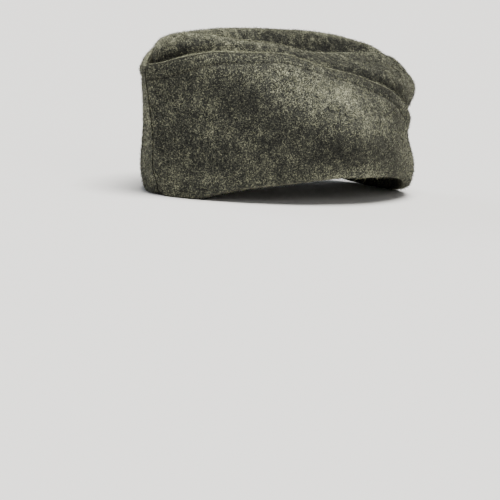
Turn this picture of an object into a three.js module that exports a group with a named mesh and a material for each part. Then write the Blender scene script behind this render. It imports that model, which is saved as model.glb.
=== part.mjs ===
// A garrison cap of fulled wool, opened out as it sits when worn.
// Units are millimetres. The cap faces -Y, its left side is +X, and it stands on z = 0.
//
// The real cap is four panels of one cloth. Two crown halves meet in a seam that runs up the
// front, along the bottom of the crease in the top and down the back. Two turn-ups are sewn to
// the crown's lower edge, folded up outside it and joined in a front and a back seam.

import * as THREE from "three";

// Driving dimensions
const bodyLength = 213; // crown over its front and back seams, at the rim
const bodyWidth = 156; // crown over the ears, at the rim
const capHeight = 113; // top of the higher ridge above the surface under the cap
const clothThickness = 2.4; // fulled wool
const foldSpace = 1.8; // air inside the fold at the rim
const layerGap = 0.7; // least air between the crown and the turn-up
const seamGap = 0.3; // between panels that are sewn edge to edge
const insideLeg = 13; // height of the cloth that the fold turns up inside the crown
const hemWidth = 11.5; // cloth turned in along the turn-up's free edge
const restFlat = 0.8; // how far the soft rim is pressed flat where it rests

// Colours and finish of the cloth
const clothColour = 0x5d5f57;
const turnUpColour = 0x565850;
const clothRoughness = 0.95;

// Mesh resolution
const turnSteps = 34;
const coveredSteps = 7; // on the crown, from its lower edge to the turn-up's free edge
const bareSteps = 6; // from there to the ridge
const creaseSteps = 6; // from the ridge to the middle seam
const legSteps = 10;
const hemSteps = 2;
const foldSteps = 6;
const slopeStep = 1e-3;
const bisections = 16;
const edgeInset = 0.05; // share of a step by which the doubled hem starts past its line

// Every table with a turn column runs round one half of the cap, from the front seam (turn 0)
// to the back seam (turn 1).

// Height of the rim's fold, as a share of capHeight.
const rimRows = [
  { turn: 0, fold: 0.03 },
  { turn: 0.04, fold: 0.01 },
  { turn: 0.083, fold: 0 },
  { turn: 0.167, fold: 0.018 },
  { turn: 0.25, fold: 0.08 },
  { turn: 0.333, fold: 0.12 },
  { turn: 0.417, fold: 0.155 },
  { turn: 0.5, fold: 0.173 },
  { turn: 0.6, fold: 0.167 },
  { turn: 0.7, fold: 0.132 },
  { turn: 0.8, fold: 0.068 },
  { turn: 0.9, fold: 0.018 },
  { turn: 1, fold: 0 },
];

// Height of each turn-up's free edge, as a share of capHeight.
const edgeRows = [
  { turn: 0, left: 0.783, right: 0.768 },
  { turn: 0.04, left: 0.792, right: 0.77 },
  { turn: 0.083, left: 0.815, right: 0.78 },
  { turn: 0.167, left: 0.868, right: 0.84 },
  { turn: 0.25, left: 0.895, right: 0.895 },
  { turn: 0.333, left: 0.899, right: 0.9 },
  { turn: 0.38, left: 0.9, right: 0.89 },
  { turn: 0.43, left: 0.853, right: 0.86 },
  { turn: 0.5, left: 0.808, right: 0.81 },
  { turn: 0.6, left: 0.732, right: 0.75 },
  { turn: 0.7, left: 0.585, right: 0.63 },
  { turn: 0.8, left: 0.47, right: 0.52 },
  { turn: 0.9, left: 0.415, right: 0.43 },
  { turn: 1, left: 0.4, right: 0.4 },
];

// Height of the ridge on each side and of the bottom of the crease between them, as shares of
// capHeight. The left side is dented further than the right.
const topRows = [
  { turn: 0, left: 0.862, right: 0.862, crease: 0.85 },
  { turn: 0.04, left: 0.9, right: 0.885, crease: 0.84 },
  { turn: 0.083, left: 0.937, right: 0.905, crease: 0.83 },
  { turn: 0.167, left: 0.98, right: 0.937, crease: 0.81 },
  { turn: 0.25, left: 0.969, right: 0.957, crease: 0.79 },
  { turn: 0.333, left: 0.942, right: 0.978, crease: 0.775 },
  { turn: 0.417, left: 0.929, right: 0.99, crease: 0.76 },
  { turn: 0.5, left: 0.892, right: 1, crease: 0.75 },
  { turn: 0.6, left: 0.89, right: 0.997, crease: 0.755 },
  { turn: 0.7, left: 0.897, right: 0.987, crease: 0.78 },
  { turn: 0.8, left: 0.892, right: 0.955, crease: 0.81 },
  { turn: 0.9, left: 0.864, right: 0.892, crease: 0.83 },
  { turn: 1, left: 0.84, right: 0.84, crease: 0.82 },
];

// The crown's outline from above at rising levels. level is a share of the height from rim to
// ridge, front and back are shares of half the body length, side of half the body width, and the
// nose columns are the radius of each rounded end as a share of half the body width.
const outlineRows = [
  { level: 0, front: 0.962, back: 1, side: 1, frontNose: 0.13, backNose: 0.72 },
  { level: 0.14, front: 0.99, back: 1.02, side: 1.015, frontNose: 0.14, backNose: 0.72 },
  { level: 0.36, front: 0.985, back: 0.955, side: 1, frontNose: 0.1, backNose: 0.5 },
  { level: 0.5, front: 0.995, back: 0.975, side: 0.95, frontNose: 0.08, backNose: 0.55 },
  { level: 0.64, front: 1.01, back: 1.04, side: 0.88, frontNose: 0.07, backNose: 0.72 },
  { level: 0.79, front: 1.03, back: 1.085, side: 0.77, frontNose: 0.08, backNose: 0.75 },
  { level: 0.92, front: 1.045, back: 1.065, side: 0.56, frontNose: 0.09, backNose: 0.5 },
  { level: 1, front: 1.035, back: 1, side: 0.38, frontNose: 0.08, backNose: 0.25 },
];

// From each ridge down into the crease: across is the share of the way to the middle seam, and
// drop the share of the crease's depth.
const creaseRows = [
  { across: 0.24, drop: 0.1 },
  { across: 0.5, drop: 0.6 },
  { across: 0.78, drop: 0.93 },
  { across: 1.0, drop: 1.0 },
];
const creaseFront = 0.88; // where the crease starts, as a share of half the body length
const creaseBack = 0.8; // where it ends

// How far the turn-up's free edge stands off beyond its least gap, round the half.
const flareRows = [
  { turn: 0, flare: 4.5 },
  { turn: 0.05, flare: 3.2 },
  { turn: 0.12, flare: 2.2 },
  { turn: 0.25, flare: 1.2 },
  { turn: 0.6, flare: 0.8 },
  { turn: 1, flare: 0.5 },
];

// How far the crown bulges sideways over the turn-up's free edge, in mm, round the half.
const bulgeRows = [
  { turn: 0, bulge: 0 },
  { turn: 0.08, bulge: 1.6 },
  { turn: 0.2, bulge: 1.8 },
  { turn: 0.35, bulge: 1.5 },
  { turn: 0.5, bulge: 4 },
  { turn: 0.62, bulge: 6 },
  { turn: 0.72, bulge: 4.5 },
  { turn: 0.85, bulge: 1 },
  { turn: 1, bulge: 0 },
];
const bulgePeak = 0.4; // where it is widest, as a share of the height from edge to ridge

// The value of a column at a given place, on a smooth curve through the table's rows.
function lookUp(rows, key, column, at) {
  const last = rows.length - 1;
  let i = 0;
  while (i < last - 1 && rows[i + 1][key] < at) i++;
  const value = (k) => rows[Math.min(Math.max(k, 0), last)][column];
  const place = (k) => rows[Math.min(Math.max(k, 0), last)][key];
  const slope = (k) => (value(k + 1) - value(k - 1)) / (place(k + 1) - place(k - 1));
  const span = place(i + 1) - place(i);
  const t = (at - place(i)) / span;
  const t2 = t * t;
  const t3 = t2 * t;
  return (
    value(i) * (2 * t3 - 3 * t2 + 1) +
    slope(i) * span * (t3 - 2 * t2 + t) +
    value(i + 1) * (3 * t2 - 2 * t3) +
    slope(i + 1) * span * (t3 - t2)
  );
}

// A height in the table starts at the unpressed rim, which is restFlat lower than the surface.
const heightAt = (rows, column, turn) =>
  (capHeight + restFlat) * lookUp(rows, "turn", column, turn) - restFlat;

// A point of one outline row: an oval with a rounded nose at each end. A nose that is rounder than
// an ellipse's makes that end fuller, and a sharper one makes it more pointed.
function outlinePoint(row, turn) {
  const angle = Math.PI * turn;
  const ahead = angle < Math.PI / 2;
  const reach = (bodyLength / 2) * (ahead ? row.front : row.back);
  const half = (bodyWidth / 2) * row.side;
  const nose = (bodyWidth / 2) * (ahead ? row.frontNose : row.backNose);
  const round = Math.sqrt(nose * reach);
  const s = Math.sin(angle);
  return { x: round * s + (half - round) * s * s, y: -reach * Math.cos(angle) };
}

// The crown's outer face at one turn, from the rim over the ridge to the crease, as a curve.
function profile(side, turn) {
  const rim = heightAt(rimRows, "fold", turn);
  const top = heightAt(topRows, side, turn);
  const points = outlineRows.map((row) => {
    const { x, y } = outlinePoint(row, turn);
    return new THREE.Vector3(x, y, rim + (top - rim) * row.level);
  });
  const crest = points[points.length - 1];
  const bottom = heightAt(topRows, "crease", turn);
  const cosine = Math.cos(Math.PI * turn);
  const creaseY = (-bodyLength / 2) * cosine * (cosine > 0 ? creaseFront : creaseBack);
  for (const row of creaseRows)
    points.push(
      new THREE.Vector3(
        crest.x * (1 - row.across),
        crest.y + (creaseY - crest.y) * row.across,
        top + (bottom - top) * row.drop,
      ),
    );
  return new THREE.CatmullRomCurve3(points, false, "centripetal");
}

const profileKeys = outlineRows.length + creaseRows.length - 1;
const ridgeShare = (outlineRows.length - 1) / profileKeys; // the ridge's place on a profile

// The body's face, which the turn-up follows.
const bodyFace = (side, turn, along) => profile(side, turn).getPoint(along);

// The crown's face: the body's, bulging between the turn-up's free edge and the ridge.
function crownFace(side, turn, along) {
  const point = bodyFace(side, turn, along);
  const edge = heightAt(edgeRows, side, turn);
  const share = (point.z - edge) / (heightAt(topRows, side, turn) - edge);
  if (along < ridgeShare && share > 0 && share < 1) {
    const rise = THREE.MathUtils.smoothstep(share, 0, bulgePeak);
    const fall = 1 - THREE.MathUtils.smoothstep(share, bulgePeak, 1);
    point.x += lookUp(bulgeRows, "turn", "bulge", turn) * rise * fall;
  }
  return point;
}

// A point of a face. Past a seam the face is the mirror image of itself before it.
function facePoint(face, side, turn, along) {
  const inside = turn < 0 ? -turn : turn > 1 ? 2 - turn : turn;
  const point = face(side, inside, along);
  if (inside !== turn) point.x = -point.x;
  return point;
}

function faceNormal(face, side, turn, along) {
  const low = Math.max(along - slopeStep, 0);
  const high = Math.min(along + slopeStep, 1);
  const round = facePoint(face, side, turn + slopeStep, along).sub(
    facePoint(face, side, turn - slopeStep, along),
  );
  const up = facePoint(face, side, turn, high).sub(facePoint(face, side, turn, low));
  return round.cross(up).normalize();
}

// A face moved out by a distance, kept on its own side of the middle seams. Where the crease is
// tight, the inner face keeps half of the outer face's way to the middle.
function offsetPoint(face, side, turn, along, distance) {
  const point = facePoint(face, side, turn, along);
  const least = point.x / 2;
  point.addScaledVector(faceNormal(face, side, turn, along), distance);
  const onSeam = turn === 0 || turn === 1 || along === 1;
  point.x = seamGap / 2 + (onSeam ? 0 : Math.max(point.x, least));
  return point;
}

// The place on a profile where the body's face moved out by a distance reaches a height.
function alongAtHeight(side, turn, height, distance = 0) {
  let low = 0;
  let high = ridgeShare;
  for (let i = 0; i < bisections; i++) {
    const middle = (low + high) / 2;
    if (offsetPoint(bodyFace, side, turn, middle, distance).z < height) low = middle;
    else high = middle;
  }
  return (low + high) / 2;
}

function crownSection(side, turn) {
  const rim = heightAt(rimRows, "fold", turn);
  const start = alongAtHeight(side, turn, rim + insideLeg);
  const edge = alongAtHeight(side, turn, heightAt(edgeRows, side, turn));
  const stretches = [
    { from: start, to: edge, steps: coveredSteps },
    { from: edge, to: ridgeShare, steps: bareSteps },
    { from: ridgeShare, to: 1, steps: creaseSteps },
  ];
  const places = [start];
  for (const { from, to, steps } of stretches)
    for (let i = 1; i <= steps; i++) places.push(from + ((to - from) * i) / steps);
  return {
    outer: places.map((along) => offsetPoint(crownFace, side, turn, along, 0)),
    inner: places.map((along) => offsetPoint(crownFace, side, turn, along, -clothThickness)),
  };
}

// The turn-up from the top of its inside leg, down, round the fold and up to its free edge.
function turnUpSection(side, turn) {
  const rim = heightAt(rimRows, "fold", turn);
  const foldCentre = clothThickness + foldSpace / 2;
  const foldAlong = alongAtHeight(side, turn, rim + foldCentre);
  const legAlong = alongAtHeight(side, turn, rim + insideLeg - seamGap);
  const edge = heightAt(edgeRows, side, turn);
  const edgeOff = layerGap + clothThickness + lookUp(flareRows, "turn", "flare", turn);
  const edgeAlong = alongAtHeight(side, turn, edge, edgeOff + clothThickness);
  const hemAlong = alongAtHeight(side, turn, edge - hemWidth, edgeOff + clothThickness);
  const outer = [
    offsetPoint(bodyFace, side, turn, legAlong, -clothThickness),
    offsetPoint(bodyFace, side, turn, foldAlong, -clothThickness),
  ];
  const inner = [
    offsetPoint(bodyFace, side, turn, legAlong, 0),
    offsetPoint(bodyFace, side, turn, foldAlong, 0),
  ];
  const centre = offsetPoint(bodyFace, side, turn, foldAlong, foldSpace / 2);
  const out = faceNormal(bodyFace, side, turn, foldAlong).setZ(0).normalize();
  if (turn === 0 || turn === 1) out.setX(0).normalize();
  for (let i = 1; i < foldSteps; i++) {
    const angle = Math.PI * (i / foldSteps);
    const arm = out.clone().multiplyScalar(-Math.cos(angle));
    arm.z = -Math.sin(angle);
    outer.push(centre.clone().addScaledVector(arm, clothThickness + foldSpace / 2));
    inner.push(centre.clone().addScaledVector(arm, foldSpace / 2));
  }
  const addRow = (along, doubled) => {
    const rise = THREE.MathUtils.smoothstep(along, foldAlong, hemAlong);
    const standOff = foldSpace + (edgeOff - foldSpace) * rise;
    outer.push(offsetPoint(bodyFace, side, turn, along, standOff + clothThickness));
    inner.push(offsetPoint(bodyFace, side, turn, along, standOff - doubled));
  };
  for (let i = 0; i <= legSteps; i++)
    addRow(foldAlong + ((hemAlong - foldAlong) * i) / legSteps, 0);
  for (let i = 0; i <= hemSteps; i++) {
    const share = (i + edgeInset) / (hemSteps + edgeInset);
    addRow(hemAlong + (edgeAlong - hemAlong) * share, clothThickness);
  }
  for (const point of outer) point.z = Math.max(point.z, 0);
  return { outer, inner };
}

// A closed shell through sections that each have as many outer as inner points.
function shellThrough(sections, side) {
  const mirror = side === "left" ? 1 : -1;
  const positions = [];
  const indices = [];
  const count = sections[0].outer.length * 2;
  for (const { outer, inner } of sections)
    for (const point of [...outer, ...inner.slice().reverse()])
      positions.push(mirror * point.x, point.y, point.z);
  const quad = (a, b, c, d) => {
    if (mirror > 0) indices.push(a, b, c, a, c, d);
    else indices.push(a, c, b, a, d, c);
  };
  for (let s = 0; s < sections.length - 1; s++)
    for (let i = 0; i < count; i++) {
      const next = (i + 1) % count;
      quad(s * count + i, (s + 1) * count + i, (s + 1) * count + next, s * count + next);
    }
  const last = (sections.length - 1) * count;
  for (let i = 0; i < count / 2 - 1; i++) {
    quad(i, i + 1, count - 2 - i, count - 1 - i);
    quad(last + i, last + count - 1 - i, last + count - 2 - i, last + i + 1);
  }
  const geometry = new THREE.BufferGeometry();
  geometry.setAttribute("position", new THREE.Float32BufferAttribute(positions, 3));
  geometry.setIndex(indices);
  geometry.computeVertexNormals();
  return geometry;
}

function panel(part, section, side, color) {
  const sections = [];
  for (let i = 0; i <= turnSteps; i++) sections.push(section(side, i / turnSteps));
  const roughness = clothRoughness;
  const material = new THREE.MeshStandardMaterial({ color, roughness, metalness: 0 });
  const mesh = new THREE.Mesh(shellThrough(sections, side), material);
  mesh.name = `${part}_${side}`;
  return mesh;
}

const cap = new THREE.Group();
for (const side of ["left", "right"]) {
  cap.add(panel("crown", crownSection, side, clothColour));
  cap.add(panel("turn_up", turnUpSection, side, turnUpColour));
}

// The origin is on the surface that the cap stands on, under the middle of its length.
const box = new THREE.Box3().setFromObject(cap);
cap.position.y = -(box.min.y + box.max.y) / 2;

export default cap;
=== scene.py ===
# %% [markdown]
# # A garrison cap in fulled wool
#
# The cap is a soft, brimless one. Two side panels are sewn together along the middle, from the
# front over the top to the back, and the top is pushed in along that seam, so that two ridges
# stand up with a valley between them. Round the outside goes a turn-up: two more panels, folded
# up at the rim, hemmed along their free edge and highest at the middle of each side.
#
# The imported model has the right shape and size, but its walls are made of flat facets. So each
# panel is copied, smoothed and given what cloth has: rolled seams, a stitched hem, soft hollows,
# and a nap of fibres over a speckled wool.

# %% Open the frame
import bpy
import math
import numpy as np
from mathutils import Matrix, Vector, noise
from mathutils.bvhtree import BVHTree
from mathutils.kdtree import KDTree


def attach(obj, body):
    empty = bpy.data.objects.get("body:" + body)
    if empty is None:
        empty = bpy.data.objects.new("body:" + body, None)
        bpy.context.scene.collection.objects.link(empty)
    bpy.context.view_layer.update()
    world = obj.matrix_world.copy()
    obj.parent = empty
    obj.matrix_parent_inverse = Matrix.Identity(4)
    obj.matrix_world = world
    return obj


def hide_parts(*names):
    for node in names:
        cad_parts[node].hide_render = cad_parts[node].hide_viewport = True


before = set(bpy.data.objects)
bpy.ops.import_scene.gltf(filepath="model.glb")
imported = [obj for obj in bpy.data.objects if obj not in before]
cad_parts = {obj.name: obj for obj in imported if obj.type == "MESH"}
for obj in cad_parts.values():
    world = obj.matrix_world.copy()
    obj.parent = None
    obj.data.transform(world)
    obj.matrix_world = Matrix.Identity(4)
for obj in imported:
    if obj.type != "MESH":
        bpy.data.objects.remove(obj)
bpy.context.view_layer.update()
print("panels in the frame:", sorted(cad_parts))

# %% [markdown]
# ## Small helpers
#
# Sizes read best in millimetres, as a maker gives them, and Blender's unit here is the metre. So
# named sizes are in millimetres and named angles in degrees, and both are turned where they are
# used. Colours are written as sRGB hex values, as a paint program shows them, and Blender's
# sockets want linear light, so one function turns the one into the other.

# %% Units, colours and selecting
MM = 0.001
scene = bpy.context.scene


def linear(hex_colour, alpha=1.0):
    """Turns an sRGB hex colour into the linear light that sockets take."""
    channels = [int(hex_colour[i:i + 2], 16) / 255 for i in (1, 3, 5)]
    return [c / 12.92 if c <= 0.04045 else ((c + 0.055) / 1.055) ** 2.4 for c in channels] + [alpha]


def alone(piece):
    """Selects this object and nothing else, because an operator acts on all that is selected."""
    bpy.ops.object.select_all(action="DESELECT")
    piece.select_set(True)
    bpy.context.view_layer.objects.active = piece


def smoothstep(low, high, value):
    """Goes softly from 0 at low to 1 at high."""
    share = np.clip((value - low) / (high - low), 0, 1)
    return share * share * (3 - 2 * share)


def read_points(piece):
    """The places of a mesh's vertices, as rows of x, y and z in metres."""
    points = np.empty(len(piece.data.vertices) * 3)
    piece.data.vertices.foreach_get("co", points)
    return points.reshape(-1, 3)


def write_points(piece, points):
    """Moves a mesh's vertices to these places, given in metres."""
    piece.data.vertices.foreach_set("co", np.ascontiguousarray(points, float).ravel())
    piece.data.update()


def faces_of(piece):
    """The corners of every face, in an order that is the same in each run."""
    faces = [tuple(face.vertices) for face in piece.data.polygons]
    return sorted(face[face.index(min(face)):] + face[:face.index(min(face))] for face in faces)


def triangles(piece):
    """How many triangles a mesh comes to."""
    return sum(len(face.vertices) - 2 for face in piece.data.polygons)


print("one millimetre is", MM, "Blender units")

# %% [markdown]
# ## The camera
#
# The camera comes first, because everything that follows is judged through it. It stands about
# a metre and a half away, a little to the front of the wearer's left side and a little above the
# cap, with a long lens, and it is turned a few degrees about its own axis as the photograph is.

# %% Place the camera
CAMERA_PLACE = (1096.1, -1015.2, 169.2)
CAMERA_AZIMUTH = 47.585
CAMERA_DOWN = 8.084
CAMERA_ROLL = 3.745
FOCAL_LENGTH = 153.4
SENSOR_WIDTH = 36
FARTHEST = 60000

bpy.ops.object.select_all(action="DESELECT")
bpy.ops.object.camera_add(location=[value * MM for value in CAMERA_PLACE])
camera = bpy.context.object
camera.name = "camera"
turned = Matrix.Rotation(math.radians(CAMERA_AZIMUTH), 3, "Z")
lowered = Matrix.Rotation(math.radians(90 - CAMERA_DOWN), 3, "X")
rolled = Matrix.Rotation(math.radians(CAMERA_ROLL), 3, "Z")
camera.rotation_euler = (turned @ lowered @ rolled).to_euler()
camera.data.lens = FOCAL_LENGTH
camera.data.sensor_width = SENSOR_WIDTH
camera.data.clip_end = FARTHEST * MM
scene.camera = camera
looks_along = turned @ lowered @ Vector((0, 0, -1))
print("the camera looks along", [round(value, 3) for value in looks_along])

# %% [markdown]
# ## The cloth panels
#
# Each panel of the frame is a closed shell of the cloth's thickness, in loose triangles. A copy
# has its doubled corners merged and its triangles paired into four-sided faces, because
# Subdivision Surface rounds a grid of those evenly.
#
# Where two panels meet along the middle they are sewn edge to edge, and the wool rolls into the
# seam. Rounding the whole panel would open that seam by several millimetres, so a line is cut
# just beside it first. That line holds the surface, and only the last millimetre rolls in.

# %% Copy, clean and smooth the panels
WELD = 0.02
PAIRING_ANGLE = 60
SEAM_OVERLAP = 0.05
SEAM_WIDTH = 0.2
ROLL_WIDTH = 0.9
ROUNDING_LEVELS = 2
PANELS = {
    "crown_left": "crown_cloth_left",
    "crown_right": "crown_cloth_right",
    "turn_up_left": "turn_up_cloth_left",
    "turn_up_right": "turn_up_cloth_right",
}


def cloth_panel(node, name):
    """Copies a node of the frame into a smooth panel of cloth whose seams still meet."""
    piece = bpy.data.objects.new(name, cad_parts[node].data.copy())
    scene.collection.objects.link(piece)
    alone(piece)
    bpy.ops.object.mode_set(mode="EDIT")
    bpy.ops.mesh.customdata_custom_splitnormals_clear()
    bpy.ops.mesh.select_mode(type="VERT")
    bpy.ops.mesh.select_all(action="SELECT")
    bpy.ops.mesh.remove_doubles(threshold=WELD * MM)
    pairing = math.radians(PAIRING_ANGLE)
    bpy.ops.mesh.tris_convert_to_quads(face_threshold=pairing, shape_threshold=pairing)
    bpy.ops.mesh.normals_make_consistent(inside=False)
    side = 1 if name.endswith("left") else -1
    bpy.ops.mesh.select_all(action="SELECT")
    bpy.ops.mesh.bisect(plane_co=(side * ROLL_WIDTH * MM, 0, 0), plane_no=(1, 0, 0))
    bpy.ops.object.mode_set(mode="OBJECT")
    points = read_points(piece)
    at_seam = np.abs(points[:, 0]) < SEAM_WIDTH * MM
    points[at_seam, 0] = -side * SEAM_OVERLAP * MM
    write_points(piece, points)
    rounding = piece.modifiers.new("rounding", "SUBSURF")
    rounding.levels = rounding.render_levels = ROUNDING_LEVELS
    bpy.ops.object.modifier_apply(modifier=rounding.name)
    return piece


cloth = {name: cloth_panel(node, name) for node, name in PANELS.items()}
for name, piece in cloth.items():
    print(name, "has", triangles(piece), "triangles")

# %% [markdown]
# ## Soft forms
#
# Wool that is worn and handled doesn't stay as smooth as the pattern it was cut to. The cloth
# simulation would be one way to get its soft hollows, but they have known places on this cap, so
# they are pressed in as a sculptor would. Each row of the table below is one touch, with its
# place, its reach, and how far it moves the wool outwards and upwards. All layers get the same
# touches, so those that lie on each other move together and never cut through. The rim stays
# flat on the floor, and the seam stays in the middle.

# %% Press soft hollows and folds into all layers
TOUCHES = [
    # what                        place, mm          reach along, up, in   turn   push, lift, mm
    ("dent in the front ridge",   (24, -77, 106),    (9, 15, 40),          60,    (-2.6, 0)),
    ("swell of the front corner", (16, -100, 92),    (22, 12, 40),         0,     (0.8, 0)),
    ("front foot drawn in",       (0, -118, 6),      (26, 7, 40),          0,     (-3.0, 0)),
    ("ridge across the side",     (74, -8, 50),      (70, 17, 40),         -22,   (3.2, 0)),
    ("hollow under the hem",      (58, -48, 76),     (26, 9, 40),          -10,   (-1.2, 0)),
    ("hollow low at the side",    (74, -10, 34),     (40, 13, 40),         -12,   (-1.0, 0)),
    ("ridge across the far side", (-66, -12, 60),    (58, 15, 40),         -24,   (2.0, 0)),
    ("hollow low on the far side", (-76, 16, 34),    (34, 13, 40),         8,     (-1.2, 0)),
    ("dent in the far crown",     (-26, 30, 110),    (24, 12, 40),         20,    (-1.6, 0)),
    ("near ridge sinks behind",   (28, 97, 94),      (14, 9, 16),          0,     (-1.0, -3.6)),
    ("far ridge stands behind",   (-11, 107, 99),    (13, 6, 16),          0,     (0, 3.2)),
    ("hollow beside the back",    (40, 98, 44),      (22, 16, 40),         0,     (-1.6, 0)),
    ("hollow behind, far side",   (-38, 99, 40),     (20, 18, 40),         0,     (-1.3, 0)),
]
RIPPLE_WIDTH = 26
RIPPLE_HEIGHT = 0.7
RIPPLE_SEED = 5
STILL_BELOW = 2.5
FREE_ABOVE = 10.5
STILL_NEAR_SEAM = 7.0
HALF_WIDTH = 78
HALF_LENGTH = 112
CENTRE_Y = 2


def outward(points):
    """The level direction away from the cap's middle line, as the walls face."""
    across, along = points[:, 0], points[:, 1] - CENTRE_Y
    away = np.stack([across / HALF_WIDTH, along / HALF_LENGTH, np.zeros(len(points))], axis=1)
    away /= np.array([HALF_WIDTH, HALF_LENGTH, 1])
    return away / np.maximum(np.linalg.norm(away, axis=1, keepdims=True), 1e-9)


def soften(piece):
    """Moves one layer by every touch in the table and by a faint ripple."""
    points = read_points(piece) / MM
    away = outward(points)
    along = np.stack([-away[:, 1], away[:, 0], away[:, 2]], axis=1)
    moved = np.zeros_like(points)
    for _, place, (reach_along, reach_up, reach_in), turn, (push, lift) in TOUCHES:
        offset = points - np.array(place)
        level = (offset * along).sum(axis=1)
        depth = (offset * away).sum(axis=1)
        angle = math.radians(turn) * (1 if place[0] > 0 else -1)
        first = level * math.cos(angle) + offset[:, 2] * math.sin(angle)
        second = -level * math.sin(angle) + offset[:, 2] * math.cos(angle)
        far = (first / reach_along) ** 2 + (second / reach_up) ** 2 + (depth / reach_in) ** 2
        strength = np.clip(1 - far / 4, 0, 1) ** 2
        moved += (away * push + np.array([0, 0, lift])) * strength[:, None]
    ripple = np.array([noise.noise_vector(Vector(point) / RIPPLE_WIDTH) for point in points])
    moved += ripple * RIPPLE_HEIGHT
    moved[:, 2] *= smoothstep(STILL_BELOW, FREE_ABOVE, points[:, 2])
    moved[:, 0] *= smoothstep(0, STILL_NEAR_SEAM, np.abs(points[:, 0]))
    write_points(piece, (points + moved) * MM)
    return np.abs(moved).max()


noise.seed_set(RIPPLE_SEED)
for name, piece in cloth.items():
    print(name, "moved by up to", round(soften(piece), 2), "mm")

# %% [markdown]
# ## The hem
#
# The turn-up's free edge is folded inwards and sewn down about ten millimetres below the fold.
# The stitching pulls the wool in along its row, and the fold above it stays plump. Behind the
# fold the crown is drawn in a little, so a dark line shows between the two layers.
#
# To shape and colour that, each point needs to know how far it lies from the edge and from the
# crown's ridge. Both lines are the highest ones round their panel, so one function finds them.
# It takes the highest points in narrow sectors first, then the top of a thin slice of cloth at
# each step. The distances are kept on the mesh as attributes, which the materials read later.

# %% Find the free edges and the ridges
SECTORS = 90
SECTOR_TOP = 0.3
SLICE = 1.2
SLICE_REACH = 8
SLICE_TOP = 0.2
LINE_POINTS = 150
ROUNDS_ROUGH = 12
ROUNDS_FINE = 6


def even(line, rounds):
    """Moves a line's points towards their neighbours, then spaces them evenly along it."""
    line = line.copy()
    for _ in range(rounds):
        line[1:-1] = (line[:-2] + 2 * line[1:-1] + line[2:]) / 4
    steps = np.concatenate([[0], np.linalg.norm(np.diff(line, axis=0), axis=1).cumsum()])
    places = np.linspace(0, steps[-1], LINE_POINTS)
    return np.stack([np.interp(places, steps, line[:, axis]) for axis in range(3)], axis=1)


def top_line(piece):
    """The highest line round a panel, from the front seam to the back seam, in mm."""
    points = read_points(piece) / MM
    side = 1 if points[:, 0].mean() > 0 else -1
    angle = np.arctan2(points[:, 1] - CENTRE_Y, points[:, 0] * side)
    sector = np.clip(((angle / math.pi + 0.5) * SECTORS).astype(int), 0, SECTORS - 1)
    line = []
    for number in range(SECTORS):
        here = points[sector == number]
        if len(here):
            line.append(here[here[:, 2] > here[:, 2].max() - SECTOR_TOP].mean(axis=0))
    line = even(np.array(line), ROUNDS_ROUGH)
    way = np.gradient(line, axis=0)
    way /= np.linalg.norm(way, axis=1, keepdims=True)
    for number, (place, along) in enumerate(zip(line.copy(), way)):
        offset = points - place
        in_slice = np.abs(offset @ along) < SLICE
        slice_of_cloth = in_slice & (np.linalg.norm(offset, axis=1) < SLICE_REACH)
        up = np.array([0, 0, 1]) - along * along[2]
        height = offset[slice_of_cloth] @ (up / np.linalg.norm(up))
        if len(height):
            highest = height > height.max() - SLICE_TOP
            top = points[slice_of_cloth][highest].mean(axis=0) - place
            line[number] += top - along * (top @ along)
    return even(line, ROUNDS_FINE)


def along_line(line, steps):
    """Points at the given steps of a line, where a whole step is one of its own points."""
    own = np.arange(len(line))
    return np.stack([np.interp(steps, own, line[:, axis]) for axis in range(3)], axis=1)


def distance_to(line, piece):
    """How far each vertex lies from a line, in mm."""
    dense = along_line(line, np.linspace(0, len(line) - 1, len(line) * 6))
    tree = KDTree(len(dense))
    for number, point in enumerate(dense):
        tree.insert(point, number)
    tree.balance()
    return np.array([tree.find(point)[2] for point in read_points(piece) / MM])


def write_attribute(piece, name, values):
    """Keeps one number for each vertex on the mesh, under this name."""
    layer = piece.data.attributes.new(name, "FLOAT", "POINT")
    layer.data.foreach_set("value", np.ascontiguousarray(values, np.float32))


lines = {name: top_line(piece) for name, piece in cloth.items()}

# %% Shape the hem and draw the crown in behind it
STITCH_DEPTH = 10.0
PLUMP = 0.7
SEWN_IN = 0.6
SEWN_REACH = 3.0
PLUMP_MIDDLE = 0.45
PLUMP_REACH = 0.5
DRAWN_IN = 1.8
DRAWN_REACH = 9.0
TURNED_OUT = (0.2, 0.7)


def hump(value, middle, width):
    """Is 1 at the middle and falls softly to 0 at the given distance from it."""
    return 1 - smoothstep(0, width, np.abs(value - middle))


for side in ("left", "right"):
    hem, crown = cloth["turn_up_cloth_" + side], cloth["crown_cloth_" + side]
    edge, ridge = lines[hem.name], lines[crown.name]
    for piece in (hem, crown):
        below = distance_to(edge, piece)
        write_attribute(piece, "below_edge", below)
        points = read_points(piece)
        away = outward(points / MM)
        if piece is crown:
            push = -DRAWN_IN * hump(below, 0, DRAWN_REACH)
        else:
            normals = np.empty(len(points) * 3)
            piece.data.vertices.foreach_get("normal", normals)
            outside = smoothstep(*TURNED_OUT, (normals.reshape(-1, 3) * away).sum(axis=1))
            push = PLUMP * hump(below, STITCH_DEPTH * PLUMP_MIDDLE, STITCH_DEPTH * PLUMP_REACH)
            push = (push - SEWN_IN * hump(below, STITCH_DEPTH, SEWN_REACH)) * outside
        push = push * smoothstep(0, STILL_NEAR_SEAM, np.abs(points[:, 0]) / MM)
        write_points(piece, points + away * push[:, None] * MM)
    write_attribute(crown, "from_ridge", distance_to(ridge, crown))
    print("the", side, "hem stands", PLUMP, "mm proud, the crown is drawn in by", DRAWN_IN, "mm")
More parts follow.
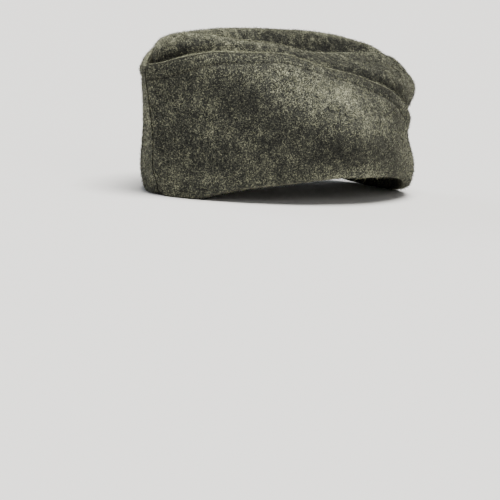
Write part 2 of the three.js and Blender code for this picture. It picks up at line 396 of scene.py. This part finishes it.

# %% [markdown]
# ## Where the wool is paler and darker
#
# These patches paint light and shade into the wool's colour. Upper sides that turn towards the
# ceiling light get painted light. The valley, the lower sides, the front corner and the crown
# just above the hem get painted shade. The blotch in front and the rims are only made paler or
# darker. The patches have soft edges and known places, so they are written as a table like the
# touches above, and kept on the mesh as one more attribute.

# %% Mark patches of painted light and shade
PATCHES = [
    # what                          place, mm         reach along, up   turn   paler or darker
    ("painted light on the upper side",             (73, -15, 73),    (44, 15),         -18,   0.95),
    ("painted light below the hem",          (46, -70, 90),    (22, 8),          -12,   0.15),
    ("painted light in the crown's dent",       (30, -75, 104),   (26, 8),          0,     0.25),
    ("dark crown above the hem",     (54, 40, 82),     (52, 6),          -12,   -0.45),
    ("dark slope in the valley",     (-19, 40, 104),   (28, 10),         -12,   -0.45),
    ("dark back of the valley",      (-11, 78, 100),   (14, 9),          0,     -0.35),
    ("dark lower side",              (66, -50, 34),    (42, 15),         0,     -0.35),
    ("dark low at the back",         (82, 8, 36),      (30, 8),          0,     -0.35),
    ("dark top corner in front",     (12, -110, 84),   (16, 11),         0,     -0.35),
    ("dark blotch in front",         (46, -74, 72),    (12, 9),          0,     -0.3),
    ("dark foot in front",           (16, -102, 28),   (18, 14),         0,     -0.25),
    ("darker middle of the side",    (55, -65, 64),    (16, 9),          0,     -0.2),
    ("dark low back of the crown",   (48, 62, 91),     (16, 6),          -12,   -0.4),
    ("dark rear of the side",        (72, 51, 57),     (8, 9),           0,     -0.25),
    ("paler rim in front",          (30, -92, 12),    (56, 6),          0,     0.1),
    ("paler rim at the side",       (82, 8, 22),      (18, 5),          0,     0.4),
    ("painted light beside the front seam",   (-8, -108, 42),   (8, 30),          0,     0.4),
    ("painted light on the far side",               (-74, -10, 72),   (40, 13),         -16,   0.55),
    ("dark low on the far side",     (-80, 16, 36),    (40, 14),         0,     -0.25),
    ("painted light on the back of the crown",      (8, 108, 78),     (24, 12),         0,     0.35),
    ("dark under the crown's back",  (0, 112, 40),     (40, 10),         0,     -0.2),
]
RAGGED = 1.0
RAGGED_SIZE = 14
PATCH_DEPTH = 25


def painted_light_and_blotches_at(points):
    """How much paler, above 0, or darker, below 0, the wool is painted at each point given in mm:
    mostly painted light and painted shade.
    """
    away = outward(points)
    along = np.stack([-away[:, 1], away[:, 0], away[:, 2]], axis=1)
    painted_light_and_blotches = np.zeros(len(points))
    ragged = RAGGED * np.array([noise.noise(Vector(point) / RAGGED_SIZE) for point in points])
    for _, place, (reach_along, reach_up), turn, change in PATCHES:
        offset = points - np.array(place)
        level = (offset * along).sum(axis=1)
        depth = (offset * away).sum(axis=1)
        angle = math.radians(turn) * (1 if place[0] > 0 else -1)
        first = level * math.cos(angle) + offset[:, 2] * math.sin(angle)
        second = -level * math.sin(angle) + offset[:, 2] * math.cos(angle)
        far = (first / reach_along) ** 2 + (second / reach_up) ** 2 + (depth / PATCH_DEPTH) ** 2
        painted_light_and_blotches += change * np.clip(1 - (far + ragged) / 4, 0, 1) ** 2
    return painted_light_and_blotches


for name, piece in cloth.items():
    painted_light_and_blotches = painted_light_and_blotches_at(read_points(piece) / MM)
    write_attribute(piece, "painted_light_and_blotches", painted_light_and_blotches)
    print(name, "has painted light, shade and blotches from", round(painted_light_and_blotches.min(), 2), "to", round(painted_light_and_blotches.max(), 2))

# %% [markdown]
# ## The row of stitches
#
# A machine sews a lockstitch: short stitches of thread in a row, each one sinking into the wool
# at both ends. One stitch is made from a small cylinder, with its ends drawn in and bent down.
# It is one unit long and one thick, and each copy is stretched to its size. The row is that one
# stitch copied along a line that runs ten millimetres below the free edge. The line is found by
# looking at the cloth from outside, one short step after another.

# %% Model one stitch
END_DROP = 0.35
END_LENGTH = 0.25
END_TAPER = 0.6

bpy.ops.object.select_all(action="DESELECT")
bpy.ops.mesh.primitive_cylinder_add(vertices=6, radius=0.5, depth=0.5, end_fill_type="TRIFAN")
stitch = bpy.context.object
stitch.name = "one_stitch"
bpy.ops.object.mode_set(mode="EDIT")
bpy.ops.mesh.select_mode(type="FACE")
for direction in (1, -1):
    bpy.ops.mesh.select_all(action="DESELECT")
    bpy.ops.object.mode_set(mode="OBJECT")
    for face in stitch.data.polygons:
        face.select = face.normal.z * direction > 0.9
    bpy.ops.object.mode_set(mode="EDIT")
    end = (0, -END_DROP, END_LENGTH * direction)
    bpy.ops.mesh.extrude_region_move(TRANSFORM_OT_translate={"value": end})
    bpy.ops.transform.resize(value=(END_TAPER, END_TAPER, 1))
bpy.ops.mesh.select_all(action="SELECT")
bpy.ops.mesh.normals_make_consistent(inside=False)
bpy.ops.object.mode_set(mode="OBJECT")
stitch_points = read_points(stitch)
stitch_faces = faces_of(stitch)
bpy.data.objects.remove(stitch)
print("one stitch has", len(stitch_faces), "faces")

# %% Find the line below the hem and lay the stitches
STITCH_LENGTH = 2.5
STITCH_GAP = 0.8
THREAD_WIDTH = 0.42
THREAD_LIFT = 0.05
ROW_MARGIN = 3
LOOK_FROM = 12
LOOK_REACH = 30


def surface_tree(pieces):
    """One searchable surface of several pieces, for rays and for the nearest point."""
    points, faces = [], []
    for piece in pieces:
        start = len(points)
        points += [vertex.co.copy() for vertex in piece.data.vertices]
        faces += [[start + index for index in face.vertices] for face in piece.data.polygons]
    return BVHTree.FromPolygons(points, faces)


def stitch_line(piece, line):
    """Points on the outside of the cloth, at the stitching depth below the edge, and normals."""
    tree = surface_tree([piece])
    found = []
    for before, here, after in zip(line[:-2], line[1:-1], line[2:]):
        along = Vector(after - before).normalized()
        away = Vector(outward(np.array([here]))[0])
        down = away.cross(along).normalized()
        if down.z > 0:
            down = -down
        start = Vector(here) + down * STITCH_DEPTH + away * LOOK_FROM
        place, normal, _, _ = tree.ray_cast(start * MM, -away, LOOK_REACH * MM)
        if place is not None:
            found.append((np.array(place) / MM, np.array(normal)))
    return np.array([f[0] for f in found]), np.array([f[1] for f in found])


def mesh_of_copies(name, copies, faces):
    """One object of many copies of a small shape, whose points are given in metres."""
    starts = np.arange(len(copies)) * copies.shape[1]
    all_faces = [[start + index for index in face] for start in starts.tolist() for face in faces]
    mesh = bpy.data.meshes.new(name)
    mesh.from_pydata(copies.reshape(-1, 3).tolist(), [], all_faces)
    piece = bpy.data.objects.new(name, mesh)
    scene.collection.objects.link(piece)
    return piece


def at_step(rows, steps, step):
    """The row at a length along a line, between the two rows that are nearest to it."""
    return np.array([np.interp(step, steps, rows[:, axis]) for axis in range(3)])


def lay_stitches(name, line, normals):
    """Steps along the line and sets one stitch in each step."""
    steps = np.concatenate([[0], np.linalg.norm(np.diff(line, axis=0), axis=1).cumsum()])
    pitch = STITCH_LENGTH + STITCH_GAP
    count = int((steps[-1] - 2 * ROW_MARGIN) // pitch)
    places, frames = [], []
    for number in range(count):
        middle = ROW_MARGIN + (number + 0.5) * pitch
        ends = [at_step(line, steps, middle + half) for half in (-pitch / 2, pitch / 2)]
        normal = at_step(normals, steps, middle)
        along = ends[1] - ends[0]
        along /= np.linalg.norm(along)
        normal -= along * (normal @ along)
        normal /= np.linalg.norm(normal)
        across = np.cross(normal, along)
        places.append((ends[0] + ends[1]) / 2 + normal * THREAD_WIDTH * THREAD_LIFT)
        frames.append([across * THREAD_WIDTH, normal * THREAD_WIDTH, along * STITCH_LENGTH])
    copies = np.einsum("pi,nij->npj", stitch_points, np.array(frames))
    copies += np.array(places)[:, None, :]
    return mesh_of_copies(name, copies * MM, stitch_faces)


stitches = {}
for side in ("left", "right"):
    hem = cloth["turn_up_cloth_" + side]
    row, row_normals = stitch_line(hem, lines[hem.name])
    stitches[side] = lay_stitches("hem_stitches_" + side, row, row_normals)
    print("the row of the", side, "hem has", triangles(stitches[side]), "triangles")

# %% [markdown]
# ## The nap
#
# Fulling felts the face of the cloth, so that no weave shows and loose fibres stand over it in
# all directions. They blur the outline and give the surface its salt and pepper look, because
# the wool is spun from dark and light fibres. Hair particles would be one way to get them, but
# they aren't a mesh. Here one fibre is a thin bent cone, and copies of it are strewn over the
# outside of the cloth. Real fibres are 0.03 mm thick and wouldn't show, so these are drawn as
# small tufts of them.

# %% Model one fibre
TO_KNEE = (0, 0.06, 0.5)
KNEE_TAPER = 0.85
TO_TIP = (0, 0.24, 0.42)

bpy.ops.object.select_all(action="DESELECT")
bpy.ops.mesh.primitive_circle_add(vertices=3, radius=0.5, fill_type="NGON")
fibre = bpy.context.object
fibre.name = "one_fibre"
bpy.ops.object.mode_set(mode="EDIT")
bpy.ops.mesh.select_all(action="SELECT")
bpy.ops.mesh.extrude_region_move(TRANSFORM_OT_translate={"value": TO_KNEE})
bpy.ops.transform.resize(value=(KNEE_TAPER, KNEE_TAPER, 1))
bpy.ops.mesh.extrude_region_move(TRANSFORM_OT_translate={"value": TO_TIP})
bpy.ops.mesh.merge(type="CENTER")
bpy.ops.mesh.select_all(action="SELECT")
bpy.ops.mesh.normals_make_consistent(inside=False)
bpy.ops.object.mode_set(mode="OBJECT")
fibre_points = read_points(fibre)
fibre_faces = faces_of(fibre)
bpy.data.objects.remove(fibre)
print("one fibre has", len(fibre_faces), "faces")

# %% Find where fibres stand
FIBRES = {
    # piece                over the face, along the top line
    "crown_cloth_left":    (9500, 500),
    "crown_cloth_right":   (9500, 500),
    "turn_up_cloth_left":  (15000, 1500),
    "turn_up_cloth_right": (15000, 1500),
}
HIDDEN_WITHIN = 4.0
CLEAR_OF_FACE = 0.2
FACING_OUT = 0.05
SPARSE_BEHIND_HEM = 8.0
SPARSE_AT_STITCHES = 2.0
SPARSE_UNDER_FOLD = (1.8, 1.0)
THINNED_BY = 0.8
LINE_MARGIN = 0.6
FOLD_STEEPNESS = (15, 80)
MIDDLE = np.array([0, CENTRE_Y, 35])

all_cloth = surface_tree(cloth.values())


def in_open_air(point, normal):
    """Whether no other layer of cloth lies close over this place."""
    start = Vector(point + normal * CLEAR_OF_FACE) * MM
    return all_cloth.ray_cast(start, Vector(normal), HIDDEN_WITHIN * MM)[0] is None


def over_the_face(piece, count, dice):
    """Places and normals, in mm, on the outward faces that no other layer covers."""
    mesh = piece.data
    mesh.calc_loop_triangles()
    corners = np.empty(len(mesh.loop_triangles) * 3, int)
    mesh.loop_triangles.foreach_get("vertices", corners)
    corners = corners.reshape(-1, 3)
    points = read_points(piece) / MM
    a, b, c = points[corners[:, 0]], points[corners[:, 1]], points[corners[:, 2]]
    cross = np.cross(b - a, c - a)
    area = np.linalg.norm(cross, axis=1) / 2
    normal = cross / np.maximum(area * 2, 1e-12)[:, None]
    centre = (a + b + c) / 3
    away = centre - MIDDLE
    away /= np.linalg.norm(away, axis=1, keepdims=True)
    facing = (normal * away).sum(axis=1) > FACING_OUT
    seen = [out and in_open_air(place, way) for out, place, way in zip(facing, centre, normal)]
    below = np.empty(len(points), np.float32)
    piece.data.attributes["below_edge"].data.foreach_get("value", below)
    below = below[corners].mean(axis=1)
    if piece.name.startswith("crown"):
        sparse = hump(below, 0, SPARSE_BEHIND_HEM)
    else:
        at_stitches = hump(below, STITCH_DEPTH, SPARSE_AT_STITCHES)
        under_fold = 0.9 * hump(below, *SPARSE_UNDER_FOLD)
        sparse = THINNED_BY * np.maximum(at_stitches, under_fold)
    weight = area * np.array(seen) * (1 - sparse)
    chosen = dice.choice(len(area), size=count, p=weight / weight.sum())
    u, v = dice.random((2, count))
    flip = u + v > 1
    u[flip], v[flip] = 1 - u[flip], 1 - v[flip]
    place = a[chosen] + (b - a)[chosen] * u[:, None] + (c - a)[chosen] * v[:, None]
    return place, normal[chosen]


def along_the_fold(piece, count, dice):
    """Places, normals and ways along on the upper and outer side of a panel's top line, in mm."""
    line = lines[piece.name]
    steps = dice.uniform(LINE_MARGIN, len(line) - 1 - LINE_MARGIN, count)
    middle = along_line(line, steps)
    way = along_line(line, steps + 0.5) - along_line(line, steps - 0.5)
    way /= np.linalg.norm(way, axis=1, keepdims=True)
    steep = np.radians(dice.uniform(*FOLD_STEEPNESS, count))[:, None]
    out = outward(middle) * np.cos(steep) + np.array([0, 0, 1]) * np.sin(steep)
    tree = surface_tree([piece])
    place = middle.copy()
    for number in range(count):
        start = Vector(middle[number] + out[number] * 6) * MM
        hit = tree.ray_cast(start, Vector(-out[number]), 10 * MM)[0]
        if hit is not None:
            place[number] = np.array(hit) / MM
    return place, out, way


print("fibres in all:", sum(face + line for face, line in FIBRES.values()))

# %% Strew fibres over each panel and lay some along its fold
FIRST_SEED = 7
FIBRE_LENGTH = (1.4, 3.8)
FIBRE_WIDTH = 0.17
FIBRE_CURL = (-1.1, 0.5)
LIE_ANGLE = (4, 34)
FLAT_ON_FOLD = 0.3
STRAIGHT_ON_FOLD = 0.2
FOLD_SPREAD = 0.15
OFF_FLOOR = 0.05
PAST_SEAM = 1.2
# Fibres along the fold are made pale: partly wear, partly a painted highlight.
PALE_AT_FOLD = 0.7
PATCH_ON_FIBRES = 0.4


def nap_of(name, face_count, fold_count, seed):
    """One mesh of loose fibres, which lean every way, but lie along a fold and are pale there."""
    piece = cloth[name]
    dice = np.random.default_rng(seed)
    place, out = over_the_face(piece, face_count, dice)
    on_fold, fold_out, fold_way = along_the_fold(piece, fold_count, dice)
    place, out = np.concatenate([place, on_fold]), np.concatenate([out, fold_out])
    count = face_count + fold_count
    way = dice.normal(size=(count, 3))
    way[face_count:] = fold_way + FOLD_SPREAD * way[face_count:]
    level = way - out * (way * out).sum(axis=1, keepdims=True)
    level /= np.linalg.norm(level, axis=1, keepdims=True)
    lie = np.radians(dice.uniform(*LIE_ANGLE, count))
    lie[face_count:] *= FLAT_ON_FOLD
    lie = lie[:, None]
    stem = level * np.cos(lie) + out * np.sin(lie)
    rise = out * np.cos(lie) - level * np.sin(lie)
    across = np.cross(rise, stem)
    long = dice.uniform(*FIBRE_LENGTH, count)[:, None]
    curl = dice.uniform(*FIBRE_CURL, count)
    curl[face_count:] *= STRAIGHT_ON_FOLD
    frames = np.stack([across * FIBRE_WIDTH, rise * FIBRE_WIDTH, stem * long], axis=1)
    copies = np.einsum("pi,nij->npj", fibre_points, frames) + place[:, None, :]
    copies += (fibre_points[:, 2] ** 2)[None, :, None] * (across * curl[:, None])[:, None, :]
    copies[:, :, 2] = np.maximum(copies[:, :, 2], OFF_FLOOR)
    side = 1 if name.endswith("left") else -1
    copies[:, :, 0] = side * np.maximum(copies[:, :, 0] * side, -PAST_SEAM)
    # Each fibre's shade also takes some of the patches' painted light and shade.
    shade = np.clip(dice.random(count) + PATCH_ON_FIBRES * painted_light_and_blotches_at(place), 0, 1)
    # Painted highlight and wear: the fibres along the fold are paler.
    shade[face_count:] = PALE_AT_FOLD + (1 - PALE_AT_FOLD) * shade[face_count:]
    nap = mesh_of_copies(name.replace("cloth", "nap"), copies * MM, fibre_faces)
    write_attribute(nap, "shade", np.repeat(shade, len(fibre_points)))
    return nap


naps = {}
for seed, (name, (face_count, fold_count)) in enumerate(FIBRES.items()):
    naps[name] = nap_of(name, face_count, fold_count, FIRST_SEED + seed)
    print(naps[name].name, "has", triangles(naps[name]), "triangles")

# %% [markdown]
# ## The wool
#
# The cloth is melton: woollen yarn in a plain weave, shrunk and raised until fibres hide the
# threads. Its colour is field grey, made by mixing dark, grey-green and pale fibres before they
# are spun, so from near by it is speckled and from far away it is one soft grey green.
#
# Four sizes of pattern draw that. Tufts are just under a millimetre across, their clumps are
# four to five, uneven felting gives clouds of about a centimetre, and dye and wear give broad
# ones. The finest is drawn coarser than real fibres, so that it shows. It is a noise that is
# pulled out of shape by another, so it curls as fibres do.

# %% A helper that adds a node with its settings and links


def put(tree, kind, settings, *values, **named):
    """Adds a node, sets its own properties, and gives its inputs values or links.

    Settings that are one word are the operation. Values go to the inputs in their order, and
    named ones to the input of that name, or of that number where names repeat, as in i6. A node
    that is given as a value passes on its first output.
    """
    node = tree.nodes.new("ShaderNode" + kind)
    if isinstance(settings, str):
        settings = {"operation": settings}
    for key, value in settings.items():
        setattr(node, key, value)
    sockets = dict(enumerate(values))
    for key, value in named.items():
        numbered = key[0] == "i" and key[1:].isdigit()
        sockets[int(key[1:]) if numbered else key.replace("_", " ")] = value
    for which, value in sockets.items():
        socket = node.inputs[which]
        if isinstance(value, bpy.types.Node):
            value = value.outputs[0]
        if isinstance(value, bpy.types.NodeSocket):
            tree.links.new(value, socket)
        else:
            socket.default_value = value
    return node


def set_stops(node, stops):
    """Gives a colour ramp its stops, each a place and a hex colour."""
    while len(node.color_ramp.elements) < len(stops):
        node.color_ramp.elements.new(0.5)
    for element, (place, colour) in zip(node.color_ramp.elements, stops):
        element.position = place
        element.color = linear(colour)


def new_material(name):
    """An empty material, and the tree that its nodes go into."""
    material = bpy.data.materials.new(name)
    material.use_nodes = True
    material.node_tree.nodes.clear()
    return material, material.node_tree


print("helpers for materials are ready")

# %% The wool's colours and patterns
DARK_FIBRE, GREY_FIBRE, GREEN_FIBRE, PALE_FIBRE = "#161616", "#2d2e2b", "#4d4e44", "#93937a"
WOOL_STOPS = [(0.36, DARK_FIBRE), (0.49, GREY_FIBRE), (0.57, GREEN_FIBRE), (0.7, PALE_FIBRE)]
HIGHLIGHT_AND_WEAR_WOOL = "#a5a68b"
WOOL_IN_SHADE = "#14130f"
SHEEN_COLOUR = "#b9b79c"
PATTERNS = {
    # name    size, mm   detail   roughness   twist
    "grain": (0.9,       3,       0.7,        0.4),
    "clump": (4.5,       2,       0.55,       0.0),
    "cloud": (13,        3,       0.6,        0.0),
    "fade":  (55,        1,       0.55,       0.0),
}
# How strongly the patches' painted light and shade move the speckle and scale the colour.
PATCH_SHIFT = 0.05
PATCH_GAIN = 0.75
# Each panel's finish: how strongly the patterns mix, which line gets a pale band that is partly
# wear and partly a painted highlight, and how far and how strongly. The crown shows at a flat
# angle, so its patterns are stronger.
CROWN_FINISH = {
    "mottle": {"clump": 0.45, "cloud": 0.25, "fade": 0.14},
    "highlit_wear_line": "from_ridge",
    "highlight_and_wear": [(2.0, 0.6), (8.0, 0.3)],
}
TURN_UP_FINISH = {
    "mottle": {"clump": 0.22, "cloud": 0.16, "fade": 0.14},
    "highlit_wear_line": "below_edge",
    "highlight_and_wear": [(2.0, 1.1)],
}


def near(tree, value, middle, width):
    """Is 1 where the value is at the middle and falls softly to 0 at this distance from it."""
    away = put(tree, "Math", "ABSOLUTE", put(tree, "Math", "SUBTRACT", value, middle))
    softly = {"interpolation_type": "SMOOTHERSTEP"}
    return put(tree, "MapRange", softly, Value=away, From_Min=0.0, From_Max=width,
               To_Min=1.0, To_Max=0.0)


def strongest(tree, marks):
    """The strongest, at each point, of marks that each have their own strength."""
    most = None
    for mark, strength in marks:
        here = put(tree, "Math", "MULTIPLY", mark, strength)
        most = here if most is None else put(tree, "Math", "MAXIMUM", most, here)
    return most


print("patterns in mm:", {name: row[0] for name, row in PATTERNS.items()})

# %% [markdown]
# ## Where shade and highlights are painted on the wool, and where it is sunk
#
# Besides its speckle the wool gets painted shade where light hardly gets in: in the seam, along
# the row of stitches, just under the hem's fold, and on the crown close behind the turn-up. The
# first two are sunk as well, so the shader's relief has them too. Along the hem's edge and the
# crests of the ridges it is paler, partly from wear and partly as a painted highlight, and there
# the pale fibres show first.

# %% The wool's finish
SEAM_HALF_WIDTH = 1.1
SEAM_SHADE = 0.8
STITCH_ROW_REACH = 1.6
STITCH_ROW_SHADE = 0.45
STITCH_ROW_RELIEF = 0.8
UNDER_HEM = (2.0, 1.1)
UNDER_HEM_CLOUDS = 1.4
UNDER_HEM_SHADE = 0.8
BEHIND_TURN_UP = [(8.0, 0.9), (15.0, 0.7)]
CLUMP_RELIEF = 0.35
WOOL_RELIEF = 0.5
BUMP_DEPTH = 0.6
SPECKLE_GAIN = 3.0
SPECKLE_START = -0.9


def wool(name, panel, hemmed):
    """Fulled wool: speckled, matt and slightly fuzzy, with a soft sheen where it turns away."""
    material, tree = new_material(name)
    place = put(tree, "TexCoord", {}).outputs["Object"]
    pattern = {}
    for kind, (size, detail, roughness, twist) in PATTERNS.items():
        pattern[kind] = put(tree, "TexNoise", {}, Vector=place, Scale=1 / (size * MM),
                            Detail=detail, Roughness=roughness, Distortion=twist).outputs["Fac"]
    grain, clump, cloud = pattern["grain"], pattern["clump"], pattern["cloud"]
    mixed = grain
    for kind, share in panel["mottle"].items():
        around_0 = put(tree, "Math", "SUBTRACT", pattern[kind], 0.5)
        mixed = put(tree, "Math", "MULTIPLY_ADD", around_0, share, mixed)
    # The patches' painted light and shade, read from the mesh.
    painted_light_and_blotches = put(tree, "Attribute", {"attribute_name": "painted_light_and_blotches"}).outputs["Fac"]
    mixed = put(tree, "Math", "MULTIPLY_ADD", painted_light_and_blotches, PATCH_SHIFT, mixed)
    speckled = put(tree, "ValToRGB", {}, mixed)
    set_stops(speckled, WOOL_STOPS)
    gain = put(tree, "Math", "MULTIPLY_ADD", painted_light_and_blotches, PATCH_GAIN, 1.0)
    colour = put(tree, "VectorMath", "SCALE", speckled, Scale=gain)

    across = put(tree, "SeparateXYZ", {}, place).outputs["X"]
    seam = near(tree, across, 0.0, SEAM_HALF_WIDTH * MM)
    height = put(tree, "Math", "ADD", grain, put(tree, "Math", "MULTIPLY", clump, CLUMP_RELIEF))
    relief = put(tree, "Math", "MULTIPLY", height, WOOL_RELIEF)
    relief = put(tree, "Math", "SUBTRACT", relief, seam)
    below = put(tree, "Attribute", {"attribute_name": "below_edge"}).outputs["Fac"]
    marks = [(seam, SEAM_SHADE)]
    if hemmed:
        sewn = near(tree, below, STITCH_DEPTH, STITCH_ROW_REACH)
        sunk = put(tree, "Math", "MULTIPLY", sewn, STITCH_ROW_RELIEF)
        relief = put(tree, "Math", "SUBTRACT", relief, sunk)
        uneven = put(tree, "Math", "MULTIPLY", cloud, UNDER_HEM_CLOUDS)
        under_hem = put(tree, "Math", "MULTIPLY", near(tree, below, *UNDER_HEM), uneven)
        marks += [(sewn, STITCH_ROW_SHADE), (under_hem, UNDER_HEM_SHADE)]
    else:
        marks += [(near(tree, below, 0.0, reach), shade) for reach, shade in BEHIND_TURN_UP]
    shaded = strongest(tree, marks)

    # A pale band along the hem's edge or the ridge's crest: partly wear, partly a painted
    # highlight.
    from_highlit_wear_line = put(tree, "Attribute", {"attribute_name": panel["highlit_wear_line"]}).outputs["Fac"]
    bands = [(near(tree, from_highlit_wear_line, 0.0, reach), strength) for reach, strength in panel["highlight_and_wear"]]
    speckle = put(tree, "Math", "MULTIPLY_ADD", grain, SPECKLE_GAIN, SPECKLE_START)
    highlight_and_wear = put(tree, "Math", "MULTIPLY", strongest(tree, bands), speckle)
    mix = {"data_type": "RGBA"}
    pale = put(tree, "Mix", mix, i0=highlight_and_wear, i6=colour, i7=linear(HIGHLIGHT_AND_WEAR_WOOL)).outputs[2]
    dark = put(tree, "Mix", mix, i0=shaded, i6=pale, i7=linear(WOOL_IN_SHADE)).outputs[2]
    bump = put(tree, "Bump", {}, Height=relief, Distance=BUMP_DEPTH * MM, Strength=0.7)
    finish = put(tree, "BsdfPrincipled", {}, Base_Color=dark, Normal=bump, Roughness=0.95,
                 Specular_IOR_Level=0.15, Sheen_Weight=0.25, Sheen_Roughness=0.45,
                 Sheen_Tint=linear(SHEEN_COLOUR))
    put(tree, "OutputMaterial", {}, Surface=finish)
    return material


crown_wool = wool("melton_wool_crown", CROWN_FINISH, hemmed=False)
turn_up_wool = wool("melton_wool_turn_up", TURN_UP_FINISH, hemmed=True)
print("finishes:", crown_wool.name, turn_up_wool.name)

# %% The fibres' and the thread's finish
PALE_LOOSE_FIBRE = "#babb9a"
LOOSE_STOPS = [(0.0, DARK_FIBRE), (0.5, GREY_FIBRE), (0.8, GREEN_FIBRE), (1.0, PALE_LOOSE_FIBRE)]
THREAD_STOPS = [(0.3, "#2a2a22"), (0.7, "#4a493c")]
PLY_TWIST = 0.8
PLY_DEPTH = 0.1


def fibre_wool():
    """Loose wool fibres: each has one shade, from dark to pale, as it was dyed, with the patches'
    painted light and shade and a painted highlight along the fold added to it.
    """
    material, tree = new_material("wool_fibres")
    shade = put(tree, "Attribute", {"attribute_name": "shade"}).outputs["Fac"]
    colour = put(tree, "ValToRGB", {}, shade)
    set_stops(colour, LOOSE_STOPS)
    finish = put(tree, "BsdfPrincipled", {}, Base_Color=colour, Roughness=0.8,
                 Specular_IOR_Level=0.2)
    put(tree, "OutputMaterial", {}, Surface=finish)
    return material


def sewing_thread():
    """Mercerised cotton thread: smoother than the wool, with the fine twist of its plies."""
    material, tree = new_material("cotton_thread")
    place = put(tree, "TexCoord", {}).outputs["Object"]
    twist = put(tree, "TexNoise", {}, Vector=place, Scale=1 / (PLY_TWIST * MM), Detail=1,
                Roughness=0.55, Distortion=0.0).outputs["Fac"]
    colour = put(tree, "ValToRGB", {}, twist)
    set_stops(colour, THREAD_STOPS)
    bump = put(tree, "Bump", {}, Height=twist, Distance=PLY_DEPTH * MM, Strength=0.6)
    finish = put(tree, "BsdfPrincipled", {}, Base_Color=colour, Normal=bump, Roughness=0.6)
    put(tree, "OutputMaterial", {}, Surface=finish)
    return material


fibre_finish = fibre_wool()
thread_finish = sewing_thread()
print("finishes:", fibre_finish.name, thread_finish.name)

# %% [markdown]
# ## Putting the pieces in the frame
#
# Every piece rides on the cap's one body, and each smooth panel stands for the panel of the
# frame that it was copied from. A panel is a sheet of cloth that was cut flat before it was sewn
# and folded. The turn-up's cut includes the hem and the part that goes up inside the rim.


def dress(piece, finish):
    """Gives a piece its finish and hangs it on the cap's body."""
    piece.data.materials.clear()
    piece.data.materials.append(finish)
    alone(piece)
    bpy.ops.object.shade_smooth()
    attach(piece, "root")


for node, name in PANELS.items():
    crown = name.startswith("crown")
    dress(cloth[name], crown_wool if crown else turn_up_wool)
    dress(naps[name], fibre_finish)
    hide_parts(node)
    side = name.rsplit("_", 1)[1]
for row in stitches.values():
    dress(row, thread_finish)
print("the cap has", len(cloth) + len(naps) + len(stitches), "pieces")

# %% [markdown]
# ## Floor and light
#
# The cap stands on its rim on a plain white floor. Most of its light is soft and comes from
# nearly overhead, as from a white ceiling, so whatever turns upwards is lightest and the upright
# sides are darker. A weak lamp stands on the wearer's left and a cooler window on the right.

# %% Add the floor
FLOOR_SIZE = 60

bpy.ops.object.select_all(action="DESELECT")
bpy.ops.mesh.primitive_plane_add(size=FLOOR_SIZE)
floor = bpy.context.object
floor.name = "floor"
material, tree = new_material("white_paper")
paper = put(tree, "BsdfPrincipled", {}, Base_Color=linear("#f4f3f1"), Roughness=0.9)
put(tree, "OutputMaterial", {}, Surface=paper)
floor.data.materials.append(material)
print("the floor is", FLOOR_SIZE, "m wide")

# %% Add the lights and the room
LIGHTS = [
    # name      azimuth, height, degrees   softness   strength   colour
    ("ceiling", 0, 76,                     40,        6.6,       "#fffdf8"),
    ("lamp",    -12, 22,                   30,        0.6,       "#fffdf8"),
    ("window",  -165, 24,                  30,        1.0,       "#eef3ff"),
]
for name, azimuth, height, softness, strength, colour in LIGHTS:
    bpy.ops.object.select_all(action="DESELECT")
    bpy.ops.object.light_add(type="SUN", location=(0, 0, 2))
    light = bpy.context.object
    light.name = name
    light.data.angle = math.radians(softness)
    light.data.energy = strength
    light.data.color = linear(colour)[:3]
    level = math.radians(azimuth)
    steep = math.radians(height)
    reach = math.cos(steep)
    source = Vector((math.cos(level) * reach, math.sin(level) * reach, math.sin(steep)))
    light.rotation_euler = source.to_track_quat("Z", "Y").to_euler()

world = bpy.data.worlds.new("white_room")
world.use_nodes = True
walls = world.node_tree.nodes["Background"]
walls.inputs["Color"].default_value = linear("#f6f7f8")
walls.inputs["Strength"].default_value = 0.2
scene.world = world
print("lights:", [row[0] for row in LIGHTS])
